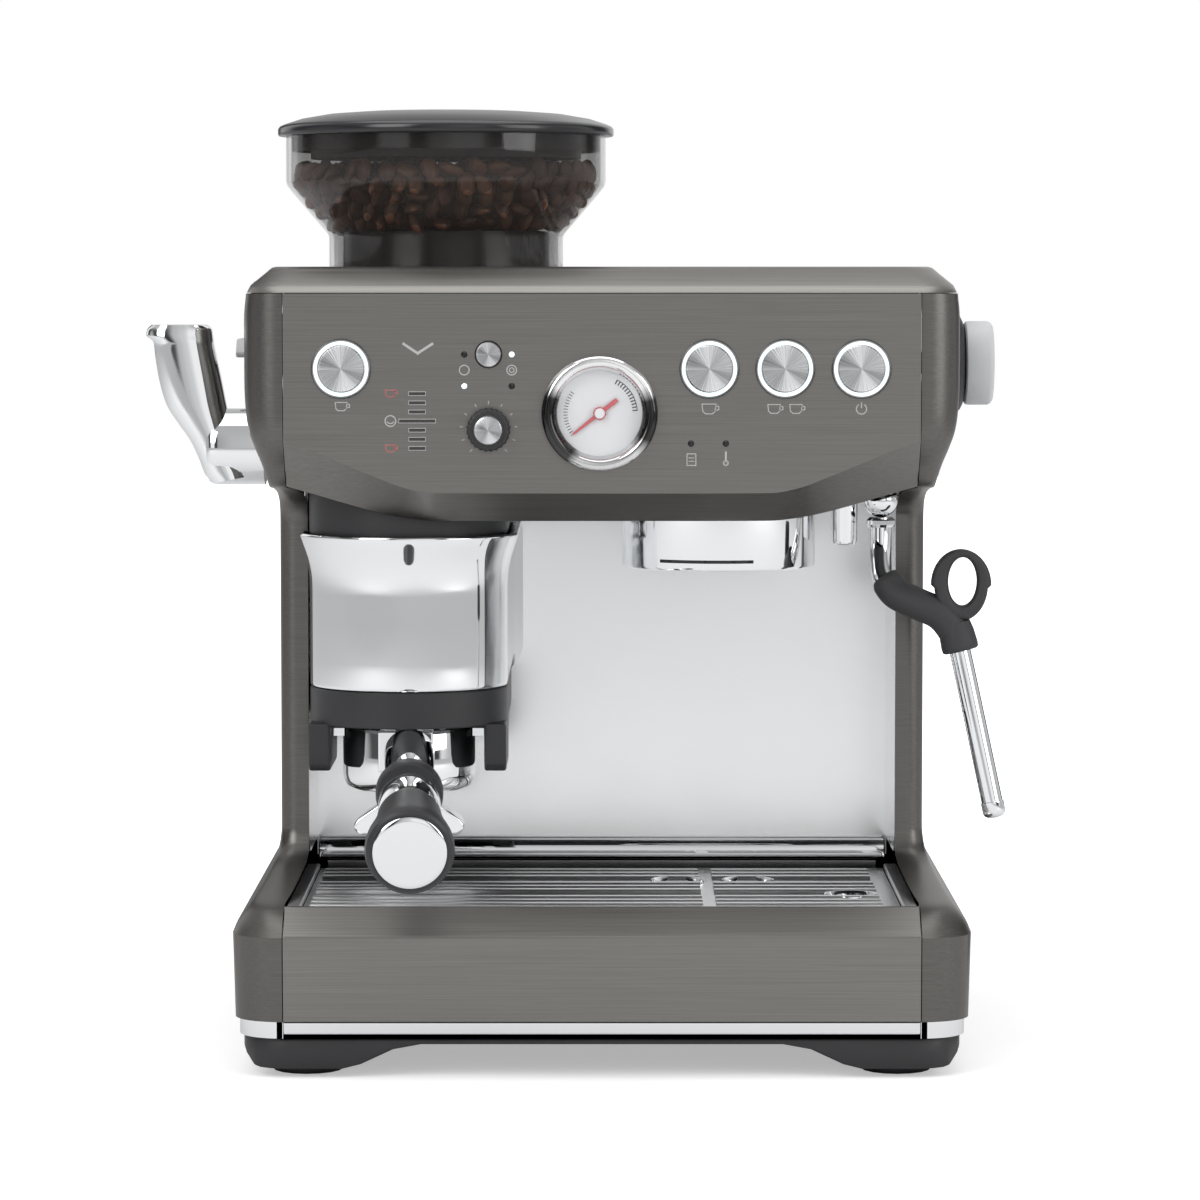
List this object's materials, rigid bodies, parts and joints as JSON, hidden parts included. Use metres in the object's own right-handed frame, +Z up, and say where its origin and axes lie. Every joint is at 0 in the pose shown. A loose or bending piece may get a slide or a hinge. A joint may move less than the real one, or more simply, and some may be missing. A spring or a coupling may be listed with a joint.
{
  "type": "espresso machine",
  "caption": "Home espresso machine with a bean grinder, lever tamper, pump brew group, steam wand, pressure gauge and drip tray.",
  "frame": {"origin": "centre of the footprint box, on the worktop that the feet stand on", "axes": "+Z up, the front with the controls and the drip tray faces -Y, +X to the viewer's right"},
  "size_m": [0.3802, 0.4068, 0.42],
  "materials": {
    "brushed_dark_steel": "dark warm grey stainless steel, brushed along the width",
    "polished_steel": "polished stainless steel and chrome",
    "satin_steel": "satin stainless steel",
    "black_plastic": "black moulded plastic, fine grain",
    "rubber": "black rubber",
    "smoked_plastic": "smoke-tinted clear plastic",
    "light_ring": "frosted white light guide, lit",
    "grey_plastic": "light grey moulded plastic",
    "dial_face": "white printed dial",
    "needle_red": "red lacquer",
    "circuit_board": "green solder mask",
    "brass": "machined brass"
  },
  "bodies": {
    "housing": {"base_pan": "black_plastic", "foot_front_left": "rubber", "foot_front_right": "rubber", "foot_rear_left": "rubber", "foot_rear_right": "rubber", "base_trim": "polished_steel", "side_panel_left": "brushed_dark_steel", "side_panel_right": "brushed_dark_steel", "front_fascia": "brushed_dark_steel", "top_cover": "brushed_dark_steel", "cup_warming_tray": "satin_steel", "rear_cover": "black_plastic", "head_underside": "black_plastic", "chassis_frame": "satin_steel", "splash_panel": "polished_steel", "cord_gland": "rubber", "tamp_shroud": "polished_steel", "tamp_housing": "black_plastic", "group_head": "polished_steel", "group_gasket": "rubber", "shower_screen": "satin_steel", "thermocoil_heater": "satin_steel", "vibration_pump": "brass", "hot_water_spout": "polished_steel", "steam_valve": "brass", "steam_dial_bezel": "black_plastic", "wand_socket": "polished_steel", "light_guide": "light_ring", "control_board": "circuit_board", "gauge_bezel": "polished_steel", "gauge_dial": "dial_face", "grinder_motor": "satin_steel", "burr_carrier": "black_plastic"},
    "hopper": {"bean_hopper": "smoked_plastic"},
    "lid": {"hopper_lid": "black_plastic"},
    "burr": {"lower_burr": "satin_steel"},
    "lever": {"tamp_lever": "polished_steel"},
    "piston": {"tamp_piston": "satin_steel"},
    "grind_dial": {"grind_size_dial": "black_plastic"},
    "steam_knob": {"steam_dial": "grey_plastic"},
    "dose_dial": {"dose_knob": "black_plastic"},
    "needle": {"gauge_needle": "needle_red"},
    "key_dose": {"button_dose": "satin_steel"},
    "key_one_cup": {"button_one_cup": "satin_steel"},
    "key_two_cup": {"button_two_cup": "satin_steel"},
    "key_power": {"button_power": "satin_steel"},
    "key_filter": {"button_filter": "satin_steel"},
    "wand_joint": {"wand_ball": "polished_steel"},
    "wand": {"steam_wand": "polished_steel", "wand_grip": "rubber"},
    "portafilter": {"portafilter_head": "polished_steel", "filter_basket": "satin_steel", "portafilter_handle": "black_plastic", "handle_sleeve": "polished_steel", "portafilter_spout": "polished_steel"},
    "drip_tray": {"drip_tray_tub": "black_plastic", "drip_tray_front": "brushed_dark_steel"},
    "grid": {"drip_grid": "polished_steel"},
    "tank": {"water_tank": "smoked_plastic"},
    "tank_cover": {"tank_lid": "black_plastic"}
  },
  "joints": [
    {"name": "hopper_lift", "type": "slide", "parent": "housing", "child": "hopper", "axis": [0, 0, 1], "range_m": [0, 0.09]},
    {"name": "lid_lift", "type": "slide", "parent": "hopper", "child": "lid", "axis": [0, 0, 1], "range_m": [0, 0.06]},
    {"name": "burr_spin", "type": "hinge", "parent": "housing", "child": "burr", "pos_m": [-0.05815, 0.04989, 0.33], "axis": [0, 0, 1], "continuous": true},
    {"name": "lever_swing", "type": "hinge", "parent": "housing", "child": "lever", "pos_m": [-0.14715, -0.00511, 0.269], "axis": [1, 0, 0], "range_deg": [0, 75]},
    {"name": "piston_travel", "type": "slide", "parent": "housing", "child": "piston", "axis": [0, 0, -1], "range_m": [0, 0.0237]},
    {"name": "grind_setting", "type": "hinge", "parent": "housing", "child": "grind_dial", "pos_m": [-0.14415, 0.05189, 0.3125], "axis": [1, 0, 0], "range_deg": [-60, 60]},
    {"name": "steam_turn", "type": "hinge", "parent": "housing", "child": "steam_knob", "pos_m": [0.17785, 0.00989, 0.306], "axis": [1, 0, 0], "range_deg": [0, 90]},
    {"name": "dose_turn", "type": "hinge", "parent": "housing", "child": "dose_dial", "pos_m": [-0.03595, -0.08011, 0.279], "axis": [0, 1, 0], "range_deg": [-135, 135]},
    {"name": "needle_swing", "type": "hinge", "parent": "housing", "child": "needle", "pos_m": [0.01185, -0.08011, 0.286], "axis": [0, 1, 0], "range_deg": [0, 218]},
    {"name": "press_dose", "type": "slide", "parent": "housing", "child": "key_dose", "axis": [0, 1, 0], "range_m": [0, 0.0015], "stiffness_N_per_m": 800},
    {"name": "press_one_cup", "type": "slide", "parent": "housing", "child": "key_one_cup", "axis": [0, 1, 0], "range_m": [0, 0.0015], "stiffness_N_per_m": 800},
    {"name": "press_two_cup", "type": "slide", "parent": "housing", "child": "key_two_cup", "axis": [0, 1, 0], "range_m": [0, 0.0015], "stiffness_N_per_m": 800},
    {"name": "press_power", "type": "slide", "parent": "housing", "child": "key_power", "axis": [0, 1, 0], "range_m": [0, 0.0015], "stiffness_N_per_m": 800},
    {"name": "press_filter", "type": "slide", "parent": "housing", "child": "key_filter", "axis": [0, 1, 0], "range_m": [0, 0.0015], "stiffness_N_per_m": 600},
    {"name": "wand_swivel", "type": "hinge", "parent": "housing", "child": "wand_joint", "pos_m": [0.13685, -0.01511, 0.2456], "axis": [0, 0, 1], "range_deg": [-40, 15]},
    {"name": "wand_tilt", "type": "hinge", "parent": "wand_joint", "child": "wand", "pos_m": [0.13685, -0.01511, 0.2456], "axis": [1, 0, 0], "range_deg": [-20, 4]},
    {"name": "portafilter_out", "type": "slide", "parent": "housing", "child": "portafilter", "axis": [0, -1, 0], "range_m": [0, 0.14]},
    {"name": "tray_out", "type": "slide", "parent": "housing", "child": "drip_tray", "axis": [0, -1, 0], "range_m": [0, 0.17]},
    {"name": "grid_lift", "type": "slide", "parent": "drip_tray", "child": "grid", "axis": [0, 0, 1], "range_m": [0, 0.015]},
    {"name": "tank_lift", "type": "slide", "parent": "housing", "child": "tank", "axis": [0, 0, 1], "range_m": [0, 0.25]},
    {"name": "tank_lid_open", "type": "hinge", "parent": "tank", "child": "tank_cover", "pos_m": [0.01285, 0.13789, 0.3453], "axis": [1, 0, 0], "range_deg": [0, 90]}
  ],
  "couplings": [
    {"joint": "piston_travel", "follows": "lever_swing", "m_per_rad": 0.018}
  ]
}
